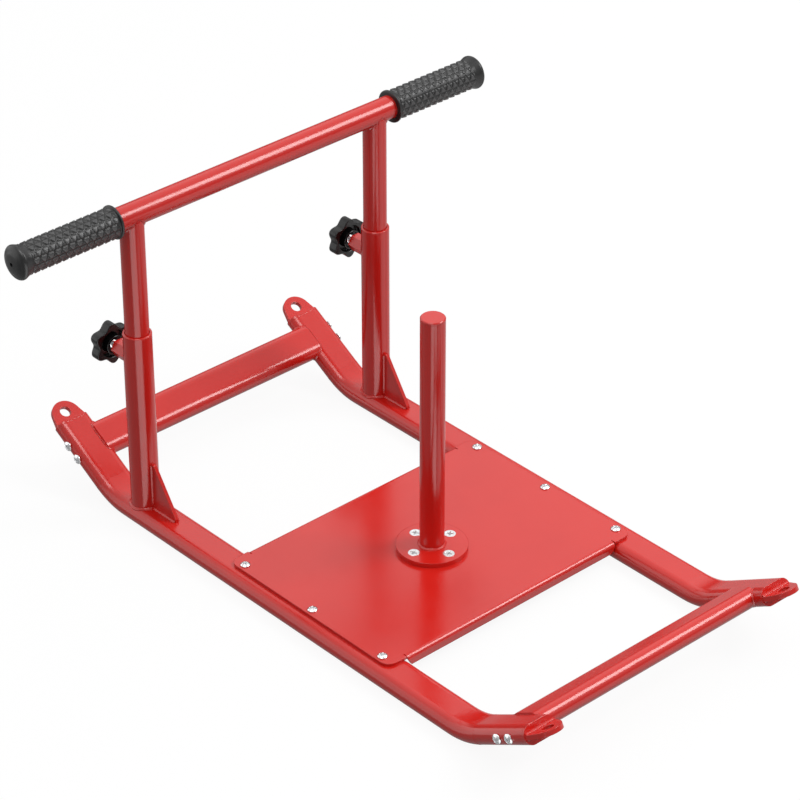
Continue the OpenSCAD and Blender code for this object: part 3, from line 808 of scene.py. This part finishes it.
def gusset_beads(side):
    """Beads along both sides of a gusset, on the skid tube and up the upright."""
    low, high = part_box(f"{side}_gusset")
    upright_y = centre_of(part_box(f"{side}_upright")).y
    face = upright_y - math.sqrt(UPRIGHT_R ** 2 - (GUSSET_T / 2) ** 2)
    for name, sign in SIDES.items():
        x = (low.x + high.x) / 2 + sign * GUSSET_T / 2
        foot = straight(Vector((x, low.y + BEAD_END, low.z)), Vector((x, face - FOOT_BEAD_SHORT, low.z)))
        bead(f"{side}_gusset_foot_bead_{name}", foot, [(sign * X, Z)] * len(foot), GUSSET_FOOT_LEG,
             "frame")
        back = straight(Vector((x, face, low.z + BACK_BEAD_RISE)), Vector((x, face, high.z - BEAD_END)))
        bead(f"{side}_gusset_back_bead_{name}", back, [(sign * X, -Y)] * len(back), GUSSET_BACK_LEG,
             "frame")


def upright_bead(side):
    """A bead around an upright's foot, which follows the skid tube's flat top and round shoulders."""
    centre = centre_of(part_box(f"{side}_upright"), z=2 * TUBE_ROUND)
    path, legs = [], []
    for point in circle(UPRIGHT_R, 0.0, count=200):
        over = max(abs(point.x) - TUBE_FLAT / 2, 0.0)
        lean = math.asin(min(over / TUBE_ROUND, 1.0)) * math.copysign(1, point.x)
        normal = Vector((math.sin(lean), 0, math.cos(lean)))
        path.append(centre + point - Z * (TUBE_ROUND - math.sqrt(TUBE_ROUND ** 2 - over ** 2)))
        legs.append((laid_on(point.normalized(), normal), Z))
    bead(f"{side}_upright_bead", path, legs, UPRIGHT_LEG, "frame", closed=True)


def boss_bead(side):
    """A bead around a clamp boss, on the upright's round side."""
    height = centre_of(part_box(f"{side}_clamp_boss")).z
    centre = centre_of(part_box(f"{side}_upright"), z=height)
    path, legs = [], []
    for point in circle(BOSS_R, 0.0, count=120):
        depth = math.sqrt(UPRIGHT_R ** 2 - point.x ** 2)
        normal = Vector((point.x, depth, 0)) / UPRIGHT_R
        path.append(centre + Vector((point.x, depth, point.y)))
        legs.append((laid_on(Vector((point.x, 0, point.y)).normalized(), normal), Y))
    bead(f"{side}_boss_bead", path, legs, BOSS_LEG, "frame", closed=True)


def handle_bead(side):
    """A bead around a sliding tube's top, where it meets the handlebar. It thins out at the front and
    rear, where the two tubes are flush, and leans a little towards the bar."""
    centre = centre_of(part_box(f"{side}_inner_tube"), z=centre_of(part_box("handlebar")).z)
    path, legs = [], []
    for point in circle(INNER_R, 0.0, count=160):
        drop = math.sqrt(max(BAR_R ** 2 - point.y ** 2, 0.0))
        normal = Vector((0, point.y, -drop)) / BAR_R
        out = math.copysign(1, point.x) * X
        share = max(abs(point.x) / INNER_R, HANDLE_BEAD_LEAST)
        down = HANDLE_BEAD_DOWN[0] * normal - HANDLE_BEAD_DOWN[1] * Z
        path.append(centre + point - Z * drop)
        legs.append((share * out + HANDLE_BEAD_LIFT * normal, share * down))
    bead(f"{side}_handle_bead", path, legs, HANDLE_LEG, "handle", closed=True)


def lug_beads(side, end):
    """Beads along both faces of a tow lug, on the end plate."""
    along, up = rise_directions(end)
    lug = f"{side}_{end}_tow_lug"
    foot, level = reach_along(lug, along)[0], sum(reach_along(lug, up)) / 2
    middle_x, half = centre_of(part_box(lug)).x * X, (LUG_BASE_W / 2 - BEAD_END) * X
    for name, sign in (("top", 1), ("bottom", -1)):
        middle = along * foot + up * (level + sign * LUG_T / 2) + middle_x
        path = straight(middle - half, middle + half)
        bead(f"{side}_{end}_lug_bead_{name}", path, [(along, sign * up)] * len(path), LUG_LEG, "frame")


def flat_oval(half_flat, count):
    """Points around a flat oval. Each is the place of its rounding's centre along the flat, and the
    direction outwards, along the flat and square to it."""
    for k in range(count):
        angle = 2 * math.pi * k / count
        along, square = math.cos(angle), math.sin(angle)
        if abs(along) > OVAL_CORNER:
            swing = math.atan2(abs(square), abs(along)) / math.acos(OVAL_CORNER) * math.pi / 2
            yield (math.copysign(half_flat, along), math.copysign(math.cos(swing), along),
                   math.copysign(math.sin(swing), square))
        else:
            yield half_flat * along / OVAL_CORNER, 0.0, math.copysign(1, square)


def cross_tube_bead(side, end):
    """A bead around a cross tube's end, on the skid tube's round side."""
    along, up = rise_directions(end)
    run = sum(reach_along(f"{end}_cross_tube", along)) / 2
    lift = sum(reach_along(f"{end}_cross_tube", up)) / 2
    level = sum(reach_along(f"{side}_{end}_end_plate", up)) / 2
    sign = SIDES[side]
    shoulder = centre_of(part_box(f"{side}_runner")).x - sign * TUBE_FLAT / 2
    path, legs = [], []
    for flat, out_along, out_up in flat_oval(CROSS_TUBE_W / 2 - TUBE_ROUND, count=200):
        share = (lift - level) / TUBE_ROUND + out_up
        lean = math.asin(min(max(share, COPE_LOWEST), COPE_HIGHEST))
        x = shoulder - sign * TUBE_ROUND * math.cos(lean)
        path.append(x * X + along * (run + flat + TUBE_ROUND * out_along)
                    + up * (level + TUBE_ROUND * math.sin(lean)))
        normal = -sign * math.cos(lean) * X + math.sin(lean) * up
        legs.append((laid_on(along * out_along + up * out_up, normal), -sign * X))
    bead(f"{side}_{end}_cross_tube_bead", path, legs, CROSS_TUBE_LEG, "frame", closed=True)


# Studio

def make_camera():
    """The photograph's camera. Azimuth 0 looks along +Y, and the elevation is how far it looks down."""
    data = bpy.data.cameras.new("camera")
    data.sensor_width = SENSOR_WIDTH
    data.lens = CAMERA_LENS
    data.shift_x, data.shift_y = CAMERA_SHIFT
    camera = bpy.data.objects.new("camera", data)
    camera.location = CAMERA_PLACE
    camera.rotation_euler = (math.pi / 2 - CAMERA_ELEVATION, 0, CAMERA_AZIMUTH)
    bpy.context.scene.collection.objects.link(camera)
    bpy.context.scene.camera = camera


def floor_material():
    """White to the camera, apart from a faint shadow, and dull to everything else."""
    s = Shader(bpy.data.materials.new("floor"))
    lit = s.add("MixShader", Fac=FLOOR_GLOW)
    s.link(s.add("BsdfDiffuse", Color=grey(FLOOR_GREY)).outputs[0], lit.inputs[1])
    s.link(s.add("Emission", Color=grey(1), Strength=1.0).outputs[0], lit.inputs[2])
    seen = s.add("MixShader")
    s.link(s.add("LightPath").outputs["Is Camera Ray"], seen.inputs[0])
    s.link(s.add("BsdfDiffuse", Color=grey(FLOOR_DULL_GREY)).outputs[0], seen.inputs[1])
    s.link(lit.outputs[0], seen.inputs[2])
    return s.surface(seen.outputs[0])


def make_floor():
    """The white floor, which the sled's gloss doesn't mirror."""
    mesh = bpy.data.meshes.new("floor")
    half = FLOOR_SIZE / 2
    corners = [(-half, -half, 0), (half, -half, 0), (half, half, 0), (-half, half, 0)]
    mesh.from_pydata(corners, [], [(0, 1, 2, 3)])
    mesh.materials.append(floor_material())
    floor = bpy.data.objects.new("floor", mesh)
    bpy.context.scene.collection.objects.link(floor)
    floor.visible_glossy = False


def studio_side(angle):
    """The direction over the floor at an angle from the camera's side, in radians from +X."""
    return math.atan2(-math.cos(CAMERA_AZIMUTH), math.sin(CAMERA_AZIMUTH)) + math.radians(angle)


def studio_direction(angle, height):
    """The direction at an angle from the camera's side and at a height over the horizon."""
    side, height = studio_side(angle), math.radians(height)
    return Vector((math.cos(side) * math.cos(height), math.sin(side) * math.cos(height),
                   math.sin(height)))


def room_above(s, towards, height):
    """Above the horizon: an even room, brighter high at its back and darker low at its back."""
    back = s.spread(s.nearness(towards, studio_direction(*BACK_AT)), -1, 1, 0, BACK_GREY)
    share = s.spread(height, *BACK_RISE, *BACK_SHARE)
    return s.calculate("ADD", s.calculate("MULTIPLY", back, share), ROOM_GREY)


def bands_below(s, turn):
    """Below the horizon: bright and dark bands side by side, which the tubes mirror."""
    bands = s.add("ValToRGB")
    s.link(s.spread(turn, -math.pi, math.pi, 0, 1), bands.inputs["Fac"])
    bands.color_ramp.interpolation = "CONSTANT"
    stops = bands.color_ramp.elements
    stops.remove(stops[1])
    stops[0].color = grey(LOW_GREY)
    for angle, level in LOW_BANDS:
        stop = stops.new((studio_side(angle) / (2 * math.pi) + 0.5) % 1.0)
        stop.color = grey(level)
    return bands.outputs["Color"]


def side_patch(s, towards, height):
    """A bright patch at the left, which shows in the gloss alone."""
    bottom, top = s.spread(height, *SIDE_BOTTOM, 0, 1), s.spread(height, *SIDE_TOP, 1, 0)
    round_patch = s.spread(s.nearness(towards, studio_direction(*SIDE_AT)), *SIDE_EDGE, 0, SIDE_GREY)
    patch = s.calculate("MULTIPLY", s.calculate("MULTIPLY", bottom, top), round_patch)
    return s.calculate("MULTIPLY", patch, s.add("LightPath").outputs["Is Glossy Ray"])


def make_world():
    """The studio around the sled, which lights it and shows in its gloss."""
    s = Shader(bpy.data.worlds.new("studio"))
    towards = s.add("TexCoord").outputs["Generated"]
    split = s.add("SeparateXYZ")
    s.link(towards, split.inputs[0])
    height = split.outputs["Z"]
    turn = s.calculate("ARCTAN2", split.outputs["Y"], split.outputs["X"])
    mix = s.add("Mix")
    s.link(s.calculate("LESS_THAN", height, 0.0), mix.inputs["Factor"])
    s.link(room_above(s, towards, height), mix.inputs["A"])
    s.link(bands_below(s, turn), mix.inputs["B"])
    background = s.add("Background", Color=grey(1))
    strength = s.calculate("MAXIMUM", mix.outputs["Result"], side_patch(s, towards, height))
    s.link(strength, background.inputs["Strength"])
    bpy.context.scene.world = s.surface(background.outputs[0])


def area_light(name, place, size, power):
    """A square soft box at place that shines at the sled."""
    data = bpy.data.lights.new(name, "AREA")
    data.shape = "SQUARE"
    data.size = size
    data.energy = power
    light = bpy.data.objects.new(name, data)
    light.location = place
    light.rotation_euler = (LIGHT_TARGET - place).to_track_quat("-Z", "Y").to_euler()
    bpy.context.scene.collection.objects.link(light)
    return light


def make_lights():
    """The key light, and an upper one that shows in the gloss alone."""
    area_light("key", KEY_PLACE, KEY_SIZE, KEY_POWER)
    upper = area_light("upper", UPPER_DISTANCE * studio_direction(*UPPER_AT), UPPER_SIZE, UPPER_POWER)
    upper.visible_diffuse = False


dress_cad_nodes()
deck_screws()
cross_tube_bolts()
post_screws()
post_nuts()
post_bead()
for side in SIDES:
    clamp_stud(side)
    clamp_knob(side)
    grip(side)
    gusset_beads(side)
    upright_bead(side)
    boss_bead(side)
    handle_bead(side)
    for end in ENDS:
        lug_beads(side, end)
        cross_tube_bead(side, end)
make_camera()
make_floor()
make_world()
make_lights()
bpy.context.scene.view_settings.view_transform = "Standard"
